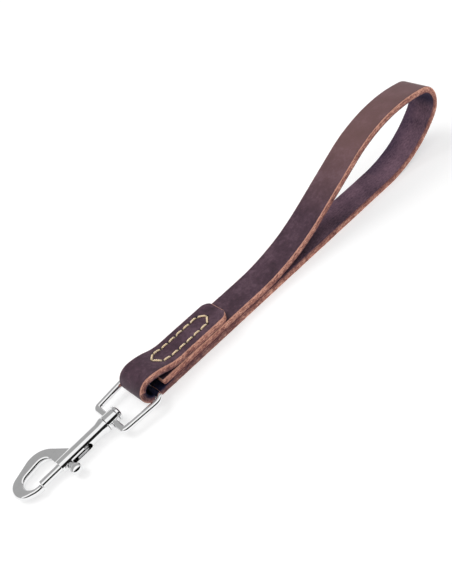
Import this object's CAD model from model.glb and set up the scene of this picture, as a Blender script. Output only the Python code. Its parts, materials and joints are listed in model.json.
"""A short leather training leash with a bolt snap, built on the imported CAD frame.

Lengths in this file are in millimetres up to make_mesh(), which turns them into metres.
"""

import json
import math

import bmesh
import bpy
import numpy as np
from mathutils import Matrix, Vector, noise


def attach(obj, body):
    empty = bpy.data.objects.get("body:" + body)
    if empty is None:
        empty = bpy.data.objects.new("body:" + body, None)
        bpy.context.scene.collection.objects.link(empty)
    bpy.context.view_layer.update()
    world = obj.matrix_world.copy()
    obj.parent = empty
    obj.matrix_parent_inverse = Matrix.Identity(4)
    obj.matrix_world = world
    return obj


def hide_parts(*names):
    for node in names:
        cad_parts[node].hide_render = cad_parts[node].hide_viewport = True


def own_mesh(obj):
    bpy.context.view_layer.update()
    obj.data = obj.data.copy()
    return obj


MM = 0.001
TINY = 1e-6

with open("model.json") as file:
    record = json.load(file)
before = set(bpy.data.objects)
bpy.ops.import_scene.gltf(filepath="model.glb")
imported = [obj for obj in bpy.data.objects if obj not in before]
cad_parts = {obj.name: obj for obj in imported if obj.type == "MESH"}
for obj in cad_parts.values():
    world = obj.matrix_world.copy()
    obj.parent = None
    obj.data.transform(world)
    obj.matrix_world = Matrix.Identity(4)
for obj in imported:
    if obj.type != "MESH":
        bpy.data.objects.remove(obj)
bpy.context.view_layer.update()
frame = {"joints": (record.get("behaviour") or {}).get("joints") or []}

# ---------------------------------------------------------------- strap sizes, as in the CAD source
STRAP_W, STRAP_T, LAYER_GAP = 20.0, 4.2, 0.2
LAP_L, TIP_R, EYE_H, RAMP_L, INNER_END_X = 70.0, 6.0, 9.2, 24.0, 16.0
LOOP_GAP = 22.9
LIFT_R, LIFT_A, RISE_R, RISE_A = 90.0, 13.0, 72.0, 42.0
NOSE_R, NOSE_A, CROWN_R, FALL_A, LAND_R = 12.0, 166.0, 105.0, 24.0, 144.0
STITCH_L, ROW_STITCHES, ROW_GAP = 5.65, 6, 9.6
SEAM_POINT, SEAM_X = 4.2, 19.2

BOTTOM_Z = STRAP_T / 2
MIDDLE_Z = 1.5 * STRAP_T + LAYER_GAP
TOP_Z = 2.5 * STRAP_T + 2 * LAYER_GAP
LAP_TOP = TOP_Z + STRAP_T / 2
FOLD_R = EYE_H / 2 + STRAP_T / 2
FOLD_X = EYE_H / 2 + STRAP_T
RAMP_A = 2 * math.degrees(math.atan((BOTTOM_Z + 2 * FOLD_R - TOP_Z) / RAMP_L))
RAMP_R = RAMP_L / (2 * math.sin(math.radians(RAMP_A)))
ORIGIN_X = LAP_L / 2

# ---------------------------------------------------------------- snap sizes, as in the CAD source
BAIL_WIRE_R, BAIL_HALF_W, BAIL_REACH, BAIL_TAPER = 2.0, 15.6, 26.8, 2.3
BOSS_U0, BOSS_U1, BOSS_HEAD_R, BOSS_COLLAR_R = 23.1, 30.5, 4.4, 4.8
HEAD_U0, HEAD_U1, HEAD_R, STUD_R, STUD_END_U = 20.55, 22.85, 4.7, 2.5, 33.75
MARK_R, MARK_DEPTH, MARK_BACK, MARK_A = 0.55, 0.5, 0.8, 62.0
STUD_FIT = 0.06
BAR_BEND_R, CROSS_BEND_R = 5.0, 2.2
COLLAR_U, COLLAR_R, COLLAR_RIM, COLLAR_TAPER = 30.75, 5.1, 1.2, 3.4
BARREL_R, FRONT_U, TIP_U = 4.2, 63.3, 76.4
HOOK_T, TIP_SIDE = 5.0, 3.4
SHOULDER_C, SHOULDER_R = (69.6, 6.5), 13.3
NOSE_OUT_C, NOSE_OUT_R = (80.7, 6.8), 9.2
THROAT_C, THROAT_R = (69.1, 6.0), 6.0
NOSE_IN_C, NOSE_IN_R = (77.7, 5.4), 5.3
ROOT_C, ROOT_R = (53.3, 1.6), 2.6
KNOB_U, TRAVEL, SLOT_R = 58.35, 12.95, 2.15
BOLT_R, BOLT_TAIL_U, BOLT_END_U, TAIL_BORE_R, TAIL_BORE_U = 2.42, 47.55, 76.25, 1.6, 56.05
STEM_R, NECK_R, NECK_GAP, KNOB_REACH, KNOB_R = 1.2, 1.9, 0.25, 9.1, 3.45
SPRING_WIRE_R, SPRING_R, SPRING_TURNS = 0.2, 1.2, 14

# Rows of points round the turned parts and tubes
TURNED_SIDES, BORE_SIDES, BOLT_SIDES, KNOB_SIDES, STEM_SIDES, MARK_SIDES = 96, 64, 80, 64, 40, 24
WIRE_SIDES, STRAND_SIDES, SPRING_SIDES, SPRING_STEPS = 40, 8, 10, 28
CUT_PAST = 1.0
PRESS_GAP = 0.01

joints = {j["name"]: j for j in frame["joints"]}
PIVOT = Vector(joints["bail_pivot"]["pos_m"]) / MM
ALONG = -Vector(joints["snap_swivel"]["axis"]).normalized()
ACROSS = Vector((0, 1, 0))
ABOVE = Vector((ALONG.z, 0, -ALONG.x))


def snap_point(u, v, w):
    """A point of the bail or the snap: u along it from the bar to the hook, v across, w up."""
    return PIVOT + ALONG * u + ACROSS * v + ABOVE * w


def sin_d(degrees):
    return math.sin(math.radians(degrees))


def cos_d(degrees):
    return math.cos(math.radians(degrees))


def clamp(value):
    """The value held between 0 and 1."""
    return max(0.0, min(1.0, value))


# ---------------------------------------------------------------- mesh helpers
def make_mesh(name, points, faces, attributes=None):
    """A new object from points in millimetres, with its faces turned outward."""
    mesh = bpy.data.meshes.new(name)
    mesh.from_pydata([tuple(c * MM for c in p) for p in points], [], faces)
    for key, values in (attributes or {}).items():
        values = np.asarray(values, np.float32)
        if values.ndim == 2:
            made = mesh.attributes.new(key, "FLOAT_VECTOR", "POINT")
            made.data.foreach_set("vector", values.ravel())
        else:
            made = mesh.attributes.new(key, "FLOAT", "POINT")
            made.data.foreach_set("value", values)
    work = bmesh.new()
    work.from_mesh(mesh)
    bmesh.ops.recalc_face_normals(work, faces=work.faces)
    work.to_mesh(mesh)
    work.free()
    mesh.validate()
    mesh.shade_smooth()
    obj = bpy.data.objects.new(name, mesh)
    bpy.context.scene.collection.objects.link(obj)
    return obj


def loft(rings, closed_ends=True):
    """Points and faces through rings of the same number of points."""
    size = len(rings[0])
    points = [p for ring in rings for p in ring]
    faces = []
    for i in range(len(rings) - 1):
        for k in range(size):
            n = (k + 1) % size
            faces.append((i * size + k, i * size + n, (i + 1) * size + n, (i + 1) * size + k))
    if closed_ends:
        faces.append(tuple(range(size - 1, -1, -1)))
        faces.append(tuple((len(rings) - 1) * size + k for k in range(size)))
    return points, faces


def rounded_corners(corners, step_a=12):
    """A polyline through [a, b, radius] corners, each rounded to its radius."""
    out = []
    for i, (a, b, r) in enumerate(corners):
        here = Vector((a, b))
        if r <= 0 or i in (0, len(corners) - 1):
            out.append(here)
            continue
        before = (Vector(corners[i - 1][:2]) - here).normalized()
        after = (Vector(corners[i + 1][:2]) - here).normalized()
        half = before.angle(after) / 2
        centre = here + (before + after).normalized() * (r / math.sin(half))
        start = here + before * (r / math.tan(half)) - centre
        turn = start.angle_signed(here + after * (r / math.tan(half)) - centre)
        count = max(2, math.ceil(abs(math.degrees(turn)) / step_a))
        for k in range(count + 1):
            arm = start.copy()
            arm.rotate(Matrix.Rotation(-turn * k / count, 2))
            out.append(centre + arm)
    return out


def turned(corners, place, sides=TURNED_SIDES):
    """Points and faces of a turned solid: [along, radius, rounding] corners, from axis to axis."""
    points, faces, rows = [], [], []
    for along, radius in rounded_corners(corners):
        if radius < TINY:
            rows.append([len(points)])
            points.append(place(along, 0, 0))
            continue
        rows.append(list(range(len(points), len(points) + sides)))
        for k in range(sides):
            a = 2 * math.pi * k / sides
            points.append(place(along, radius * math.cos(a), radius * math.sin(a)))
    for one, two in zip(rows, rows[1:]):
        for k in range(sides):
            n = (k + 1) % sides
            if len(one) == 1:
                faces.append((one[0], two[n], two[k]))
            elif len(two) == 1:
                faces.append((one[k], one[n], two[0]))
            else:
                faces.append((one[k], one[n], two[n], two[k]))
    return points, faces


def tube_rings(path, radius, sides, closed=False):
    """Rings of a round tube along a path of points."""
    count, rings, normal = len(path), [], None
    for i, here in enumerate(path):
        ahead = path[(i + 1) % count] if closed else path[min(i + 1, count - 1)]
        behind = path[i - 1] if closed else path[max(i - 1, 0)]
        tangent = (ahead - behind).normalized()
        if normal is None:
            normal = tangent.orthogonal().normalized()
        normal = (normal - tangent * normal.dot(tangent)).normalized()
        other = tangent.cross(normal)
        rings.append([
            here + (normal * math.cos(2 * math.pi * k / sides)
                    + other * math.sin(2 * math.pi * k / sides)) * radius
            for k in range(sides)
        ])
    return rings


def cut_or_join(obj, other, operation):
    """Applies an exact boolean and drops the other object."""
    modifier = obj.modifiers.new("shape", "BOOLEAN")
    modifier.operation = operation
    modifier.solver = "EXACT"
    modifier.object = other
    bpy.context.view_layer.update()
    graph = bpy.context.evaluated_depsgraph_get()
    made = bpy.data.meshes.new_from_object(obj.evaluated_get(graph))
    obj.modifiers.clear()
    obj.data = made
    bpy.data.objects.remove(other)


def bore_along(obj, start, end, radius):
    """Bores a straight hole along the snap's axis, from before its start to past its end."""
    start, end = start - CUT_PAST, end + CUT_PAST
    cutter = make_mesh("bore", *turned(
        [(start, 0, 0), (start, radius, 0), (end, radius, 0), (end, 0, 0)], snap_point, BORE_SIDES))
    cut_or_join(obj, cutter, "DIFFERENCE")


def hard_surface(obj, sharp_a=40):
    """Smooth shading that keeps flats flat and edges over the angle crisp."""
    obj.data.shade_smooth()
    obj.data.set_sharp_from_angle(angle=math.radians(sharp_a))
    weighted = obj.modifiers.new("flat faces", "WEIGHTED_NORMAL")
    weighted.keep_sharp = True
    weighted.weight = 90


# ---------------------------------------------------------------- materials
def new_material(name):
    """A new material with its nodes, its links and its shader."""
    material = bpy.data.materials.new(name)
    material.use_nodes = True
    nodes = material.node_tree.nodes
    shader = nodes["Principled BSDF"]
    return material, nodes, material.node_tree.links, shader


def add(nodes, kind, **values):
    """A node with the given settings; a value whose name is an input is set on the socket."""
    node = nodes.new(kind)
    for key, value in values.items():
        if hasattr(node, key):
            setattr(node, key, value)
        else:
            node.inputs[key.replace("_", " ")].default_value = value
    return node


def attribute(nodes, name):
    return add(nodes, "ShaderNodeAttribute", attribute_name=name)


def colour(r, g, b):
    """A colour given as 0 to 255 display values, in linear light."""
    def linear(c):
        c = c / 255
        return c / 12.92 if c <= 0.04045 else ((c + 0.055) / 1.055) ** 2.4
    return (linear(r), linear(g), linear(b), 1)


def grey(level):
    return (level, level, level, 1)


BLACK, WHITE = grey(0), grey(1)


def connect(links, value, socket):
    """Links an output to the socket, or sets the socket to a plain value."""
    if hasattr(value, "is_linked"):
        links.new(value, socket)
    else:
        socket.default_value = value


def ramp(nodes, links, source, stops):
    """A colour ramp through [position, colour] stops."""
    node = nodes.new("ShaderNodeValToRGB")
    elements = node.color_ramp.elements
    while len(elements) > 1:
        elements.remove(elements[-1])
    elements[0].position, elements[0].color = stops[0]
    for position, value in stops[1:]:
        elements.new(position).color = value
    links.new(source, node.inputs["Fac"])
    return node.outputs["Color"]


def mix(nodes, links, amount, one, two):
    """One colour turned into another by the amount."""
    node = nodes.new("ShaderNodeMix")
    node.data_type = "RGBA"
    factor, first, second, result = node.inputs[0], node.inputs[6], node.inputs[7], node.outputs[2]
    for socket, value in ((factor, amount), (first, one), (second, two)):
        connect(links, value, socket)
    return result


def calc(nodes, links, operation, one, two=0.0, three=0.0):
    """One step of arithmetic on values or outputs."""
    node = nodes.new("ShaderNodeMath")
    node.operation = operation
    for socket, value in zip(node.inputs, (one, two, three)):
        connect(links, value, socket)
    return node.outputs[0]


def share(nodes, links, one, part, two):
    """The given part of one value and the rest of another."""
    rest = calc(nodes, links, "MULTIPLY", two, 1 - part)
    return calc(nodes, links, "MULTIPLY_ADD", one, part, rest)


def roughen(nodes, links, fibre, amount, value):
    """A value made uneven by the fibres, which lie about one half."""
    spread = calc(nodes, links, "SUBTRACT", fibre, 0.5)
    return calc(nodes, links, "MULTIPLY_ADD", spread, amount, value)


def add_bump(nodes, links, shader, height, strength, distance):
    node = add(nodes, "ShaderNodeBump", Strength=strength, Distance=distance)
    links.new(height, node.inputs["Height"])
    links.new(node.outputs["Normal"], shader.inputs["Normal"])


def noise_at(nodes, links, vector, scale, detail, rough, stretch=None):
    """Fractal noise along the vector, which may be stretched first."""
    if stretch:
        mapping = nodes.new("ShaderNodeMapping")
        mapping.inputs["Scale"].default_value = stretch
        links.new(vector, mapping.inputs["Vector"])
        vector = mapping.outputs["Vector"]
    node = add(nodes, "ShaderNodeTexNoise", Scale=scale, Detail=detail, Roughness=rough)
    links.new(vector, node.inputs["Vector"])
    return node.outputs["Fac"]


GRAIN_DARK, GRAIN_MID, GRAIN_LIGHT = colour(54, 34, 46), colour(78, 54, 68), colour(110, 84, 98)
FLESH_DARK, FLESH_LIGHT = colour(76, 56, 72), colour(140, 108, 124)
EDGE_DARK, EDGE_MID, EDGE_LIGHT = colour(92, 52, 54), colour(182, 120, 104), colour(244, 184, 160)
EDGE_DEEP, EDGE_RIM = colour(96, 58, 66), colour(255, 220, 200)
EYE_DARK, CROWN_WARM, HOLE_DARK = colour(14, 16, 52), colour(156, 116, 108), colour(16, 12, 22)
THREAD_DEEP, THREAD_WAX = colour(70, 42, 32), colour(250, 206, 146)
THREAD_MID, THREAD_LIGHT = colour(255, 218, 164), colour(255, 248, 222)


def leather_material():
    """Oiled leather: grain side, flesh side and raw fibrous edge, told apart by the mesh."""
    material, nodes, links, shader = new_material("oiled_leather")
    lay = attribute(nodes, "lay").outputs["Vector"]
    side = attribute(nodes, "side").outputs["Fac"]
    hole = attribute(nodes, "hole").outputs["Fac"]

    cloud = noise_at(nodes, links, lay, scale=70, detail=3, rough=0.55)
    mottle = noise_at(nodes, links, lay, scale=420, detail=4, rough=0.6)
    pores = noise_at(nodes, links, lay, scale=1900, detail=3, rough=0.6)
    tone = share(nodes, links, mottle, 0.45, cloud)
    grain = ramp(nodes, links, tone, [(0.34, GRAIN_DARK), (0.5, GRAIN_MID), (0.68, GRAIN_LIGHT)])
    grain = mix(nodes, links, calc(nodes, links, "MULTIPLY", pores, 0.35), grain, GRAIN_DARK)

    nap = noise_at(nodes, links, lay, scale=900, detail=5, rough=0.7, stretch=(0.55, 1, 1))
    flesh_tone = share(nodes, links, nap, 0.6, cloud)
    flesh = ramp(nodes, links, flesh_tone, [(0.36, FLESH_DARK), (0.66, FLESH_LIGHT)])

    fibre = noise_at(nodes, links, lay, scale=1150, detail=5, rough=0.8, stretch=(0.5, 1, 1.2))
    patch = noise_at(nodes, links, lay, scale=260, detail=3, rough=0.6, stretch=(0.5, 1, 1))
    edge_tone = share(nodes, links, fibre, 0.72, patch)
    edge = ramp(nodes, links, edge_tone,
                [(0.38, EDGE_DARK), (0.5, EDGE_MID), (0.6, EDGE_LIGHT), (0.7, EDGE_RIM)])
    through = roughen(nodes, links, fibre, 0.5, attribute(nodes, "through").outputs["Fac"])
    deep = ramp(nodes, links, through, [(0.1, grey(0.6)), (0.5, grey(0.1)), (0.8, BLACK)])
    edge = mix(nodes, links, deep, edge, EDGE_DEEP)
    rim = ramp(nodes, links, through, [(0.78, BLACK), (0.92, grey(0.65))])
    edge = mix(nodes, links, rim, edge, EDGE_LIGHT)

    ragged = roughen(nodes, links, fibre, 1.1, side)
    face_stops = [(0.62, BLACK), (0.86, WHITE)]
    is_grain = ramp(nodes, links, ragged, face_stops)
    is_flesh = ramp(nodes, links, calc(nodes, links, "MULTIPLY", ragged, -1.0), face_stops)
    base = mix(nodes, links, is_grain, edge, grain)
    base = mix(nodes, links, is_flesh, base, flesh)
    base = mix(nodes, links, attribute(nodes, "shade").outputs["Fac"], base, EYE_DARK)
    base = mix(nodes, links, attribute(nodes, "worn").outputs["Fac"], base, CROWN_WARM)
    base = mix(nodes, links, hole, base, HOLE_DARK)
    links.new(base, shader.inputs["Base Color"])

    rough = ramp(nodes, links, mottle, [(0.3, grey(0.46)), (0.7, grey(0.62))])
    rough = mix(nodes, links, is_grain, grey(0.85), rough)
    links.new(rough, shader.inputs["Roughness"])
    shader.inputs["Specular IOR Level"].default_value = 0.4

    pits = add(nodes, "ShaderNodeTexVoronoi", Scale=1300)
    links.new(lay, pits.inputs["Vector"])
    grain_relief = calc(nodes, links, "MULTIPLY_ADD", pits.outputs["Distance"], 0.5, mottle)
    relief = mix(nodes, links, is_grain, fibre, grain_relief)
    add_bump(nodes, links, shader, relief, strength=0.55, distance=0.00018)
    return material


def thread_material():
    """Waxed thread: fine fibres along each strand, darker where it dips into the leather."""
    material, nodes, links, shader = new_material("waxed_thread")
    place = nodes.new("ShaderNodeTexCoord").outputs["Object"]
    dip = attribute(nodes, "dip").outputs["Fac"]
    fibres = noise_at(nodes, links, place, scale=3800, detail=3, rough=0.7)
    tone = noise_at(nodes, links, place, scale=380, detail=3, rough=0.5)
    base = ramp(nodes, links, fibres, [(0.3, THREAD_MID), (0.7, THREAD_LIGHT)])
    base = mix(nodes, links, calc(nodes, links, "MULTIPLY", tone, 0.2), base, THREAD_WAX)
    base = mix(nodes, links, dip, base, THREAD_DEEP)
    links.new(base, shader.inputs["Base Color"])
    shader.inputs["Roughness"].default_value = 0.6
    add_bump(nodes, links, shader, fibres, strength=0.4, distance=0.00008)
    return material


def chrome_material(name, rough_low, rough_high, tint):
    """Polished plating: near-mirror, with faint handling haze, hairlines and cast waviness."""
    material, nodes, links, shader = new_material(name)
    place = nodes.new("ShaderNodeTexCoord").outputs["Object"]
    haze = noise_at(nodes, links, place, scale=220, detail=4, rough=0.6)
    hairs = noise_at(nodes, links, place, scale=900, detail=2, rough=0.5, stretch=(0.2, 1, 1))
    wave = noise_at(nodes, links, place, scale=150, detail=2, rough=0.4)
    dulled = tuple(c * 0.95 for c in tint)
    base = ramp(nodes, links, haze, [(0.3, dulled + (1,)), (0.7, tint + (1,))])
    links.new(base, shader.inputs["Base Color"])
    shader.inputs["Metallic"].default_value = 1.0
    rough = share(nodes, links, hairs, 0.4, haze)
    rough = ramp(nodes, links, rough, [(0.35, grey(rough_low)), (0.7, grey(rough_high))])
    links.new(rough, shader.inputs["Roughness"])
    add_bump(nodes, links, shader, wave, strength=0.12, distance=0.0002)
    return material


# ---------------------------------------------------------------- strap
def strap_steps():
    """The centre line from its rounded end: [length] is a straight, [radius, angle] a bend."""
    crown_end_a = 180 + FALL_A
    crown_run = (LIFT_R * sin_d(LIFT_A) + RISE_R * (sin_d(RISE_A) - sin_d(LIFT_A))
                 + NOSE_R * (sin_d(NOSE_A) - sin_d(RISE_A))
                 + CROWN_R * (sin_d(crown_end_a) - sin_d(NOSE_A)))
    crown_end_z = (BOTTOM_Z + LIFT_R * (1 - cos_d(LIFT_A)) + RISE_R * (cos_d(LIFT_A) - cos_d(RISE_A))
                   + NOSE_R * (cos_d(RISE_A) - cos_d(NOSE_A))
                   + CROWN_R * (cos_d(NOSE_A) - cos_d(crown_end_a)))
    fall_l = (crown_end_z - LAND_R * (1 - cos_d(FALL_A)) - MIDDLE_Z) / sin_d(FALL_A)
    land_x = LAP_L + LOOP_GAP
    loop_start = land_x - crown_run + fall_l * cos_d(FALL_A) + LAND_R * sin_d(FALL_A)
    return [
        [LAP_L - FOLD_X - RAMP_L], [RAMP_R, -RAMP_A], [RAMP_R, RAMP_A], [FOLD_R, 180],
        [loop_start - FOLD_X], [LIFT_R, LIFT_A], [RISE_R, RISE_A - LIFT_A],
        [NOSE_R, NOSE_A - RISE_A], [CROWN_R, crown_end_a - NOSE_A], [fall_l], [LAND_R, -FALL_A],
        [land_x - INNER_END_X],
    ]


# The mesh is finer near the seams and at the strap's rounded end. A run is a length along the strap
# from that end; the lap's lower layer, with the underside seam, ends before BASE_RUN.
SEAM_MARGIN = 2
SEAM_FROM = SEAM_X - SEAM_MARGIN
SEAM_TO = SEAM_X + 2 * SEAM_POINT + STITCH_L * ROW_STITCHES + SEAM_MARGIN
TIP_STEP, FINE_STEP, COARSE_STEP, BEND_STEP_A = 0.12, 0.4, 1.25, 4.5
TIP_RUN, FINE_RUN, BASE_RUN = 1.2, 12, 175


def strap_stations():
    """Rows of x, z, heading and length so far along the strap, finer at its end and its seams."""
    x, z, heading, run = LAP_L, TOP_Z, 180.0, 0.0
    rows = [(x, z, heading, run)]
    for step in strap_steps():
        straight = len(step) == 1
        length = step[0] if straight else step[0] * math.radians(abs(step[1]))
        at = 0.0
        x0, z0, h0 = x, z, heading
        while at < length - TINY:
            outer = z > MIDDLE_Z + 1 or z < MIDDLE_Z - 1
            in_seam = SEAM_FROM < x < SEAM_TO and outer and run < BASE_RUN
            pace = FINE_STEP if in_seam or run < FINE_RUN else COARSE_STEP
            if run < TIP_RUN:
                pace = TIP_STEP
            if not straight:
                pace = min(pace, step[0] * math.radians(BEND_STEP_A))
            at = min(at + pace, length)
            if length - at < pace / 4:
                at = length
            if straight:
                x = x0 + at * cos_d(h0)
                z = z0 + at * sin_d(h0)
            else:
                side = math.copysign(1, step[1])
                heading = h0 + side * math.degrees(at / step[0])
                x = x0 + side * step[0] * (sin_d(heading) - sin_d(h0))
                z = z0 + side * step[0] * (cos_d(h0) - cos_d(heading))
            rows.append((x, z, heading, run + at))
        run += length
    return rows


def seam_holes():
    """Needle holes in plan, from the outside of the fold: a long hexagon with a point at each end."""
    row = [SEAM_X + SEAM_POINT + k * STITCH_L for k in range(ROW_STITCHES + 1)]
    far = SEAM_X + 2 * SEAM_POINT + ROW_STITCHES * STITCH_L
    return ([(SEAM_X, 0.0)] + [(x, ROW_GAP / 2) for x in row] + [(far, 0.0)]
            + [(x, -ROW_GAP / 2) for x in reversed(row)])


GRAIN_R, FLESH_R = 0.75, 0.55
GRAIN_POINTS, EDGE_POINTS, FLESH_POINTS = 47, 7, 21
GRAIN_TURNS, FLESH_TURNS = 5, 4


def section_outline():
    """The strap's section: y across, t through it, how far out to the edge face, grain or flesh."""
    half_w, half_t = STRAP_W / 2, STRAP_T / 2
    outline = [(y, half_t, 1.0, 0, 1)
               for y in np.linspace(-half_w + GRAIN_R, half_w - GRAIN_R, GRAIN_POINTS)]
    for k in range(1, GRAIN_TURNS):
        a = 90 - 90 / GRAIN_TURNS * k
        outline.append((half_w - GRAIN_R + GRAIN_R * cos_d(a), half_t - GRAIN_R * (1 - sin_d(a)),
                        1 - 0.2 * k, 0.25 * k, 1))
    for t in np.linspace(half_t - GRAIN_R, -half_t + FLESH_R, EDGE_POINTS):
        outline.append((half_w, t, 0.0, 1, 0))
    for k in range(1, FLESH_TURNS):
        a = -90 / FLESH_TURNS * k
        outline.append((half_w - FLESH_R + FLESH_R * cos_d(a), -half_t + FLESH_R * (1 + sin_d(a)),
                        -0.25 * k, 1 - 0.25 * k, 0))
    for y in np.linspace(half_w - FLESH_R, -half_w + FLESH_R, FLESH_POINTS):
        outline.append((y, -half_t, -1.0, 0, -1))
    near_edge = outline[GRAIN_POINTS:-FLESH_POINTS]
    return outline + [(-y, t, side, edge, face) for y, t, side, edge, face in reversed(near_edge)]


def segment_distance(x, y, a, b):
    """Distance from (x, y) to the segment between a and b."""
    dx, dy = b[0] - a[0], b[1] - a[1]
    along = clamp(((x - a[0]) * dx + (y - a[1]) * dy) / (dx * dx + dy * dy))
    return math.hypot(x - a[0] - along * dx, y - a[1] - along * dy)


# Depth and width of the seam's marks: pressed leather on the lap, a groove on the underside
SEAM_REACH = 2.2
PRESS_DEPTH, PRESS_W = 0.26, 0.75
GROOVE_DEPTH, GROOVE_FLAT, GROOVE_W = 0.98, 0.3, 0.35
HOLE_DEPTH, HOLE_W = 0.75, 0.62
SHADE_STRENGTH, SHADE_W = 1.5, 0.78


def bell(away, width):
    return math.exp(-(away / width) ** 2)


def seam_press(x, y, on_lap, pairs, holes):
    """How far the seam moves the face outward at (x, y), and how much it is inside a hole."""
    off = min(segment_distance(x, y, a, b) for a, b in pairs)
    if off >= SEAM_REACH:
        return 0.0, 0.0
    if on_lap:
        shift = -PRESS_DEPTH * bell(off, PRESS_W)
    else:
        shift = -GROOVE_DEPTH * min(1.0, bell(max(0.0, off - GROOVE_FLAT), GROOVE_W))
    near = min(math.hypot(x - a[0], y - a[1]) for a in holes)
    shift -= HOLE_DEPTH * bell(near, HOLE_W)
    return shift, min(1.0, SHADE_STRENGTH * bell(near, SHADE_W))


# Ragged edge, as depth and length: fibres, small tears and a slow wave, then set in a little
RAG_FIBRE, RAG_FIBRE_L = 0.13, 0.8
RAG_TEAR, RAG_TEAR_L = 0.16, 1.9
RAG_WAVE, RAG_WAVE_L = 0.12, 26
RAG_INSET = 0.08
# Slow unevenness of the faces
SWELL, SWELL_L = 0.07, 14


def edge_rag(run, t, sign):
    """How far the raw edge stands proud of its straight line."""
    spot = Vector((run, t * 1.6, 30 + 9 * sign))
    rag = (RAG_TEAR * noise.noise(spot / RAG_TEAR_L)
           + RAG_FIBRE * noise.noise(spot / RAG_FIBRE_L + Vector((5, 3, 1))))
    rag += RAG_WAVE * noise.noise(Vector((run / RAG_WAVE_L, 3 * sign, 0)))
    return rag - RAG_INSET


# Where the leather is darkened or worn: the flesh side in the eye, in the loop's far bend and on the
# loop's far half, the edge low in the lap's fold and along the table, and the grain on the crown.
# Headings are those of the stations: 360 on the table, 540 where the upper strap lies flat again.
EYE_SHADE_X, EYE_SHADE_L, EYE_SHADE_RUN = 26.0, 6, 180
NOSE_SHADE, NOSE_SHADE_A, NOSE_SHADE_SPAN, NOSE_SHADE_Z = 0.8, 418, 34, 12
FAR_SHADE, FAR_SHADE_W, FAR_SHADE_A, FAR_SHADE_RUN = 0.6, 12, 361, 500
TABLE_SHADE, TABLE_SHADE_RUN, TABLE_SHADE_L = 0.5, 170, 50
FOLD_SHADE, FOLD_SHADE_UP, FOLD_SHADE_START, FOLD_SHADE_END = 0.62, 0.75, 30, 90
CROWN_WEAR, CROWN_WEAR_Z, CROWN_WEAR_RISE, CROWN_WEAR_A = 0.36, 18, 22, 460


def leather_tints(x, y, z, heading, run, through, side, edge):
    """How dark and how worn the leather is at a point of its surface."""
    worn = (CROWN_WEAR * clamp((z - CROWN_WEAR_Z) / CROWN_WEAR_RISE) * (heading > CROWN_WEAR_A)
            * (side == 1.0))
    if side < 0:
        in_eye = clamp((EYE_SHADE_X - x) / EYE_SHADE_L) * (run < EYE_SHADE_RUN)
        in_nose = clamp((heading - NOSE_SHADE_A) / NOSE_SHADE_SPAN) * (z > NOSE_SHADE_Z)
        far_side = clamp((y + 1) / FAR_SHADE_W) * (heading > FAR_SHADE_A) * (run < FAR_SHADE_RUN)
        return max(in_eye, NOSE_SHADE * in_nose, FAR_SHADE * far_side), worn
    on_table = TABLE_SHADE * clamp((TABLE_SHADE_RUN - run) / TABLE_SHADE_L) * (run > LAP_L)
    in_fold = (FOLD_SHADE * max(0.0, FOLD_SHADE_UP - through)
               * (FOLD_SHADE_START < run < FOLD_SHADE_END) + on_table)
    return in_fold * edge, worn


# Length over which the strap's ends are rounded off, how much of that goes into the thickness and
# the width, and the length over which its ends show the raw edge
END_TAPER, END_THIN, END_NARROW, END_EDGE_L = 0.9, 0.85, 0.5, 0.6
CENTRE_STRIP = 0.1


def make_strap():
    """The strap, swept along its centre line, with the marks of its seam and its ragged edges."""
    holes = seam_holes()
    pairs = list(zip(holes, holes[1:] + holes[:1]))
    outline = section_outline()
    rows = strap_stations()
    total = rows[-1][3]
    rings = []
    marks = {key: [] for key in ("lay", "side", "hole", "through", "shade", "worn")}
    for x, z, heading, run in rows:
        up = Vector((sin_d(heading), 0, -cos_d(heading)))
        left = total - run
        half_w = STRAP_W / 2
        if run < TIP_R:
            half_w -= TIP_R - math.sqrt(max(0.0, TIP_R ** 2 - (TIP_R - run) ** 2))
        inset = 0.0
        for away in (run, left):
            if away < END_TAPER:
                inset = END_TAPER - math.sqrt(END_TAPER ** 2 - (END_TAPER - away) ** 2)
        on_lap = run < LAP_L - FOLD_X + SEAM_MARGIN
        on_base = LAP_L < run < BASE_RUN
        ring = []
        for y, t, side, edge, face in outline:
            shift, hole = 0.0, 0.0
            if face == 1 and SEAM_FROM < x < SEAM_TO and (on_lap or on_base):
                shift, hole = seam_press(x, y, on_lap, pairs, holes)
            if not on_base:
                shift += SWELL * noise.noise(Vector((run, y * 0.9, 40.0 * face)) / SWELL_L)
            wide = y * half_w / (STRAP_W / 2)
            if edge:
                sign = math.copysign(1, y)
                wide += sign * edge_rag(run, t, sign) * edge
            thin = t * (1 - inset / (STRAP_T / 2) * END_THIN) + shift * math.copysign(1, t)
            if abs(wide) > CENTRE_STRIP:
                wide -= math.copysign(min(inset, abs(wide)), wide) * END_NARROW
            place = Vector((x - ORIGIN_X, wide, z)) + up * thin
            place.z = max(place.z, 0.0)
            ring.append(place)
            through = 0.5 + t / STRAP_T
            shade, worn = leather_tints(x, y, z, heading, run, through, side, edge)
            raw_end = clamp(1 - min(run, left) / END_EDGE_L)
            marks["lay"].append((run * MM, y * MM, t * MM))
            marks["side"].append(side * (1 - raw_end))
            marks["hole"].append(hole)
            marks["through"].append(through)
            marks["shade"].append(shade)
            marks["worn"].append(worn)
        rings.append(ring)
    strap = make_mesh("leather_strap", *loft(rings), marks)
    strap.data.materials.append(leather)
    return strap


def lap_face_z(x):
    """Height of the lap's upper face at a distance x from the outside of the fold."""
    half_t = STRAP_T / 2
    if x < FOLD_X + (RAMP_R + half_t) * sin_d(RAMP_A):
        return BOTTOM_Z + 2 * FOLD_R - RAMP_R + math.sqrt((RAMP_R + half_t) ** 2 - (x - FOLD_X) ** 2)
    if x < FOLD_X + RAMP_L:
        return TOP_Z + RAMP_R - math.sqrt((RAMP_R - half_t) ** 2 - (x - FOLD_X - RAMP_L) ** 2)
    return LAP_TOP


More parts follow.
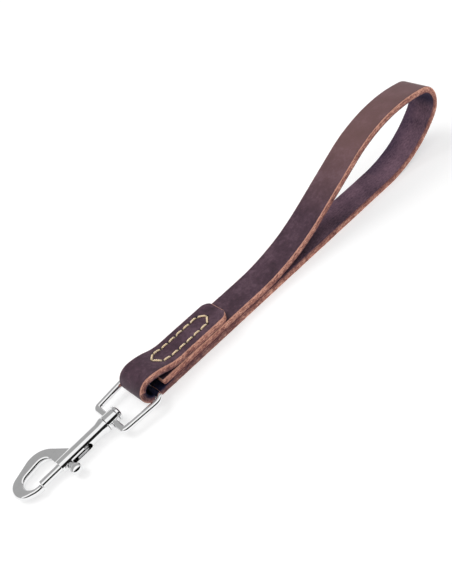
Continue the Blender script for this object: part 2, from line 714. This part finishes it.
# One strand of the two-ply thread, and how its middle rises and its ends dive
STRAND_R, STRAND_OFFSET, STRAND_TWIST_L = 0.37, 0.27, 2.3
STITCH_STEP, STITCH_END = 0.16, 0.22
STITCH_RISE, STITCH_DROP, STITCH_DROP_W = 0.34, 1.25, 0.6
STITCH_CLEAR = 0.02
DIP_DARK = 1.1


def make_stitches(name, on_top):
    """Two-ply stitches between neighbouring holes, each diving into the leather at its ends."""
    holes = seam_holes()
    points, faces, dips = [], [], []
    for number, (a, b) in enumerate(zip(holes, holes[1:] + holes[:1])):
        start, run = Vector(a), Vector(b) - Vector(a)
        length = run.length
        normal = Vector((-run.y, run.x)) / length
        count = round(length / STITCH_STEP)
        for strand in range(2):
            path, depth = [], []
            for i in range(count + 1):
                f = i / count
                along = STITCH_END + (length - 2 * STITCH_END) * f
                spot = start + run * (along / length)
                drop = STITCH_DROP * bell(min(f, 1 - f) * length, STITCH_DROP_W)
                if on_top:
                    height = lap_face_z(spot.x) + STITCH_RISE * math.sin(math.pi * f) - drop
                else:
                    height = STRAND_R + STRAND_OFFSET + STITCH_CLEAR + drop
                angle = 2 * math.pi * (along / STRAND_TWIST_L + strand / 2) + number
                aside = STRAND_OFFSET * math.cos(angle)
                path.append(Vector((spot.x - ORIGIN_X + normal.x * aside, spot.y + normal.y * aside,
                                    height + STRAND_OFFSET * math.sin(angle))))
                depth.append(min(1.0, drop * DIP_DARK))
            made, joined = loft(tube_rings(path, STRAND_R, STRAND_SIDES))
            faces += [tuple(k + len(points) for k in face) for face in joined]
            points += made
            dips += [d for d in depth for _ in range(STRAND_SIDES)]
    stitches = make_mesh(name, points, faces, {"dip": dips})
    stitches.data.materials.append(thread)
    return stitches


# ---------------------------------------------------------------- bail and snap
BAIL_STEP, BAIL_BEND_STEP_A = 2.0, 6


def bail_path():
    """The bail's wire as a closed run of points in u and v, with real bends at its corners."""
    bar, cross = BAIL_HALF_W, BAIL_HALF_W - BAIL_TAPER
    corners = [(0, bar, BAR_BEND_R), (BAIL_REACH, cross, CROSS_BEND_R),
               (BAIL_REACH, -cross, CROSS_BEND_R), (0, -bar, BAR_BEND_R)]
    looped = [corners[-1]] + corners + [corners[0]]
    out = []
    for i in range(1, len(corners) + 1):
        out += rounded_corners(looped[i - 1:i + 2], BAIL_BEND_STEP_A)[1:-1]
    dense = []
    for here, there in zip(out, out[1:] + out[:1]):
        parts = max(1, math.ceil((there - here).length / BAIL_STEP))
        dense += [here.lerp(there, k / parts) for k in range(parts)]
    return [snap_point(p.x, p.y, 0) for p in dense]


# Profiles are [u, radius, rounding] corners. The boss has a small rim at its head's end and a
# shoulder before the collar; the rivet's head has a domed rim.
BOSS_PROFILE = [
    (BOSS_U0, 0, 0), (BOSS_U0, BOSS_HEAD_R, 0.5), (BOSS_U0 + 2.2, BOSS_HEAD_R + 0.12, 0.8),
    (BOSS_U1 - 1.6, BOSS_COLLAR_R - 0.1, 0.5), (BOSS_U1, BOSS_COLLAR_R, 0.45), (BOSS_U1, 0, 0)]
RIVET_PROFILE = [
    (HEAD_U0, 0, 0), (HEAD_U0, HEAD_R - 1.0, 1.2), (HEAD_U0 + 0.9, HEAD_R - 0.1, 0.4),
    (HEAD_U0 + 1.3, HEAD_R, 0.3), (HEAD_U1, HEAD_R, 0.3), (HEAD_U1, STUD_R, 0),
    (STUD_END_U, STUD_R, 0.3), (STUD_END_U, 0, 0)]
BARREL_PROFILE = [
    (COLLAR_U, 0, 0), (COLLAR_U, COLLAR_R, 0.3), (COLLAR_U + COLLAR_RIM, COLLAR_R, 0.35),
    (COLLAR_U + COLLAR_RIM + COLLAR_TAPER, BARREL_R, 4), (FRONT_U, BARREL_R, 0.4), (FRONT_U, 0, 0)]
BOLT_PROFILE = [
    (TAIL_BORE_U, 0, 0), (TAIL_BORE_U, TAIL_BORE_R, 0), (BOLT_TAIL_U, TAIL_BORE_R, 0.15),
    (BOLT_TAIL_U, BOLT_R, 0.3), (BOLT_END_U, BOLT_R, 0.6), (BOLT_END_U, 0, 0)]


def make_bail():
    """The wire eye with its swivel boss."""
    rings = tube_rings(bail_path(), BAIL_WIRE_R, WIRE_SIDES, closed=True)
    points, faces = loft(rings + [rings[0]], closed_ends=False)
    used = WIRE_SIDES * len(rings)
    faces = [tuple(k % used for k in face) for face in faces]
    bail = make_mesh("wire_bail", points[:used], faces)
    cut_or_join(bail, make_mesh("boss", *turned(BOSS_PROFILE, snap_point)), "UNION")
    bore_along(bail, BOSS_U0, BOSS_U1, STUD_R + STUD_FIT)
    bail.data.materials.append(chrome)
    hard_surface(bail)
    return bail


def make_stud():
    """The riveted stud, with the punch mark in its head."""
    stud = make_mesh("swivel_rivet", *turned(RIVET_PROFILE, snap_point))
    lean_sin, lean_cos = sin_d(MARK_A), cos_d(MARK_A)
    floor_at, past = HEAD_R - MARK_DEPTH, HEAD_R + CUT_PAST
    mark = make_mesh("punch_mark", *turned(
        [(floor_at, 0, 0), (floor_at, MARK_R, 0.15), (past, MARK_R, 0), (past, 0, 0)],
        lambda out, a, b: snap_point(HEAD_U1 - MARK_BACK + a, -out * lean_sin + b * lean_cos,
                                     out * lean_cos + b * lean_sin), MARK_SIDES))
    cut_or_join(stud, mark, "DIFFERENCE")
    stud.data.materials.append(chrome)
    hard_surface(stud)
    return stud


def arc(centre, radius, start, end, count):
    """Points on a circle from one angle to another, in degrees, including both ends."""
    angles = [start + (end - start) * k / count for k in range(count + 1)]
    return [(centre[0] + radius * cos_d(a), centre[1] + radius * sin_d(a)) for a in angles]


def outer_tangent(c1, r1, c2, r2):
    """The direction, in degrees, of the tangent points on the left of the way from c1 to c2."""
    du, dv = c2[0] - c1[0], c2[1] - c1[1]
    return math.degrees(math.atan2(dv, du)) + math.degrees(math.acos((r1 - r2) / math.hypot(du, dv)))


# The hook's rims: how far they are rounded inward and downward, and the steps of the rounding
RIM_IN, RIM_DOWN, RIM_STEP_A = 1.9, 2.35, 9
ROOT_START_A, ROOT_SINK_V = 250, -2.0
TIP_BLEND = 1.2


def hook_outline(inset):
    """The hook in plan, from inside the barrel round the outside to its tip and up the throat.

    The outline is drawn in from the hook's edge by the inset, with the same number of points.
    """
    back = outer_tangent(ROOT_C, ROOT_R, SHOULDER_C, SHOULDER_R)
    over = outer_tangent(SHOULDER_C, SHOULDER_R, NOSE_OUT_C, NOSE_OUT_R)
    under = -outer_tangent((SHOULDER_C[0], -SHOULDER_C[1]), SHOULDER_R,
                           (NOSE_OUT_C[0], -NOSE_OUT_C[1]), NOSE_OUT_R)
    top = outer_tangent(THROAT_C, THROAT_R, NOSE_IN_C, NOSE_IN_R)
    throat_r, nose_in_r = THROAT_R + inset, NOSE_IN_R + inset
    tip_u, tip_v = TIP_U + inset, inset - TIP_SIDE
    tip_in = -math.degrees(math.acos((tip_u - NOSE_IN_C[0]) / nose_in_r))
    gate = 180 - math.degrees(math.acos((THROAT_C[0] - FRONT_U) / throat_r))
    outline = [(FRONT_U, ROOT_SINK_V), (ROOT_C[0], ROOT_C[1] - ROOT_R + inset)]
    outline += arc(ROOT_C, ROOT_R - inset, ROOT_START_A, back, 10)
    outline += arc(SHOULDER_C, SHOULDER_R - inset, back, over, 24)
    outline += arc(NOSE_OUT_C, NOSE_OUT_R - inset, over, under, 36)
    last_u, last_v = outline[-1]
    slope = math.tan(math.radians(under))
    flat_u = last_u + (last_v - tip_v) * slope
    outline += [(flat_u + TIP_BLEND, last_v + (flat_u + TIP_BLEND - last_u) / -slope),
                (flat_u - TIP_BLEND, tip_v), (tip_u, tip_v)]
    outline += arc(NOSE_IN_C, nose_in_r, tip_in, top, 22)
    outline += arc(THROAT_C, throat_r, top, gate, 16)
    return outline


def make_snap_body():
    """The hook with rounded rims on its barrel, bored for the bolt and slotted for the knob."""
    half_t = HOOK_T / 2
    rim = [(RIM_IN * (1 - sin_d(a)), RIM_DOWN * (1 - cos_d(a))) for a in range(0, 91, RIM_STEP_A)]
    levels = [(inset, drop - half_t) for inset, drop in rim]
    levels += [(inset, half_t - drop) for inset, drop in reversed(rim)]
    body = make_mesh("bolt_snap", *loft(
        [[snap_point(u, v, w) for u, v in hook_outline(inset)] for inset, w in levels]))
    cut_or_join(body, make_mesh("barrel", *turned(BARREL_PROFILE, snap_point)), "UNION")
    bore_along(body, COLLAR_U, FRONT_U, STUD_R)
    slot = arc((KNOB_U - TRAVEL, 0), SLOT_R, 90, 270, 18) + arc((KNOB_U, 0), SLOT_R, -90, 90, 18)
    rings = [[snap_point(u, v, w) for u, w in slot] for v in (0, -BARREL_R - 2 * CUT_PAST)]
    cut_or_join(body, make_mesh("slot", *loft(rings)), "DIFFERENCE")
    body.data.materials.append(chrome)
    hard_surface(body, 35)
    return body


def knob_point(out, a, b):
    """A point laid out from the bolt's axis towards the knob."""
    return snap_point(KNOB_U + a, -out, b)


def make_bolt():
    """The bolt, with its hollow tail and the cross hole for the knob's stem."""
    bolt = make_mesh("gate_bolt", *turned(BOLT_PROFILE, snap_point, BOLT_SIDES))
    hole = make_mesh("stem_hole", *turned(
        [(0, 0, 0), (0, STEM_R, 0), (2 * BOLT_R, STEM_R, 0), (2 * BOLT_R, 0, 0)],
        knob_point, STEM_SIDES))
    cut_or_join(bolt, hole, "DIFFERENCE")
    bolt.data.materials.append(chrome)
    hard_surface(bolt)
    return bolt


def make_knob():
    """The thumb knob: stem, neck and ball."""
    neck_at, stem_r = BOLT_R + NECK_GAP, STEM_R - PRESS_GAP
    corners = [(2 * PRESS_GAP, 0, 0), (2 * PRESS_GAP, stem_r, 0.1), (neck_at, stem_r, 0),
               (neck_at, NECK_R, 0.25)]
    sweep, steps = 180 - math.degrees(math.asin(NECK_R / KNOB_R)), 36
    for k in range(steps + 1):
        a = sweep - sweep * k / steps
        radius = KNOB_R * sin_d(a) if k < steps else 0
        corners.append((KNOB_REACH + KNOB_R * cos_d(a), radius, 0.1 if k == 0 else 0))
    knob = make_mesh("thumb_ball", *turned(corners, knob_point, KNOB_SIDES))
    knob.data.materials.append(chrome)
    hard_surface(knob)
    return knob


def make_spring():
    """The round-wire spring between the stud and the bottom of the bolt's bore."""
    first, last = STUD_END_U + SPRING_WIRE_R, TAIL_BORE_U - SPRING_WIRE_R
    count = SPRING_TURNS * SPRING_STEPS
    path = []
    for i in range(count + 1):
        f = i / count
        a = 2 * math.pi * SPRING_TURNS * f
        path.append(snap_point(first + (last - first) * f,
                               SPRING_R * math.cos(a), SPRING_R * math.sin(a)))
    spring = make_mesh("coil_spring", *loft(tube_rings(path, SPRING_WIRE_R, SPRING_SIDES)))
    spring.data.materials.append(steel)
    return spring


# ---------------------------------------------------------------- assembly
leather = leather_material()
thread = thread_material()
chrome = chrome_material("bright_chrome", 0.04, 0.1, (0.88, 0.88, 0.885))
steel = chrome_material("spring_wire", 0.22, 0.34, (0.66, 0.66, 0.68))


def install(piece, body, node):
    """Puts the piece on its body, in place of its CAD node."""
    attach(piece, body)
    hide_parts(node)


install(make_strap(), "strap", "strap")
install(make_stitches("top_stitches", True), "strap", "top_thread")
install(make_stitches("underside_stitches", False), "strap", "underside_thread")
install(make_bail(), "bail", "bail")
install(make_stud(), "snap", "swivel_stud")
install(make_snap_body(), "snap", "snap_body")
install(make_bolt(), "bolt", "bolt")
install(make_knob(), "bolt", "thumb_knob")
spring = make_spring()
install(spring, "snap", "spring")
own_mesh(spring)


# ---------------------------------------------------------------- floor, light and camera
FLOOR_HALF, FLOOR_Z = 1.6, -0.0001
FLOOR_GLOW = 0.58
SKY_WHITE, SKY_GREY, SKY_DARK = grey(1.05), grey(0.42), grey(0.015)
SUN_ENERGY, SUN_ANGLE, SUN_HEADING = 1.25, 35, (0.35, -0.55, -1.0)
# Camera: its focal length as a share of the picture's long side, and its pose in metres
FOCAL_SHARE, SENSOR = 877.5 / 584, 36
CAMERA_AT = (-0.13883, -0.33969, 0.34109)
CAMERA_RIGHT = (0.69338, -0.65635, -0.29737)
CAMERA_DOWN = (-0.62281, -0.33835, -0.70542)
CAMERA_AHEAD = (0.36239, 0.67434, -0.64339)


def make_floor():
    """A pale paper floor just under the strap."""
    half, z = FLOOR_HALF, FLOOR_Z
    floor = bpy.data.meshes.new("floor")
    floor.from_pydata([(-half, -half, z), (half, -half, z), (half, half, z), (-half, half, z)], [],
                      [(0, 1, 2, 3)])
    obj = bpy.data.objects.new("floor", floor)
    bpy.context.scene.collection.objects.link(obj)
    material, nodes, links, shader = new_material("pale_paper")
    place = nodes.new("ShaderNodeTexCoord").outputs["Object"]
    tooth = noise_at(nodes, links, place, scale=900, detail=3, rough=0.5)
    base = ramp(nodes, links, tooth, [(0.3, grey(0.5)), (0.7, grey(0.54))])
    links.new(base, shader.inputs["Base Color"])
    shader.inputs["Roughness"].default_value = 0.9
    shader.inputs["Specular IOR Level"].default_value = 0.1
    shader.inputs["Emission Color"].default_value = WHITE
    shader.inputs["Emission Strength"].default_value = FLOOR_GLOW
    floor.materials.append(material)


def make_world():
    """A white studio with a dark gap low in front of the object and a grey wall behind it."""
    world = bpy.data.worlds.new("studio")
    bpy.context.scene.world = world
    world.use_nodes = True
    nodes, links = world.node_tree.nodes, world.node_tree.links
    background = nodes["Background"]
    direction = nodes.new("ShaderNodeTexCoord").outputs["Generated"]
    parts = nodes.new("ShaderNodeSeparateXYZ")
    links.new(direction, parts.inputs[0])
    forward = calc(nodes, links, "MULTIPLY", parts.outputs["Y"], -1.0)
    height = calc(nodes, links, "ARCTAN2", parts.outputs["Z"], forward)
    half_turns = calc(nodes, links, "DIVIDE", height, math.pi)
    sky = ramp(nodes, links, half_turns, [
        (0.0, SKY_WHITE), (0.05, SKY_WHITE), (0.065, SKY_DARK), (0.275, SKY_DARK),
        (0.29, SKY_WHITE), (0.50, SKY_WHITE), (0.56, SKY_GREY), (0.9, SKY_GREY),
        (0.98, SKY_WHITE)])
    links.new(sky, background.inputs["Color"])
    background.inputs["Strength"].default_value = 1.0


def make_lights():
    """One broad, soft sun, which the chrome doesn't mirror."""
    light = bpy.data.lights.new("soft_key", "SUN")
    light.energy = SUN_ENERGY
    light.angle = math.radians(SUN_ANGLE)
    light.color = (1, 1, 1)
    key = bpy.data.objects.new("soft_key", light)
    key.rotation_euler = Vector(SUN_HEADING).to_track_quat("-Z", "Y").to_euler()
    key.visible_glossy = False
    bpy.context.scene.collection.objects.link(key)


def make_camera():
    """The camera that the sizes were read through."""
    camera = bpy.data.cameras.new("camera")
    camera.sensor_width = SENSOR
    camera.lens = FOCAL_SHARE * SENSOR
    camera.clip_start, camera.clip_end = 0.01, 20
    obj = bpy.data.objects.new("camera", camera)
    turn = Matrix((Vector(CAMERA_RIGHT), -Vector(CAMERA_DOWN), -Vector(CAMERA_AHEAD))).transposed()
    obj.matrix_world = Matrix.Translation(CAMERA_AT) @ turn.to_4x4()
    bpy.context.scene.collection.objects.link(obj)
    bpy.context.scene.camera = obj


make_floor()
make_world()
make_lights()
make_camera()
bpy.context.scene.view_settings.view_transform = "Standard"
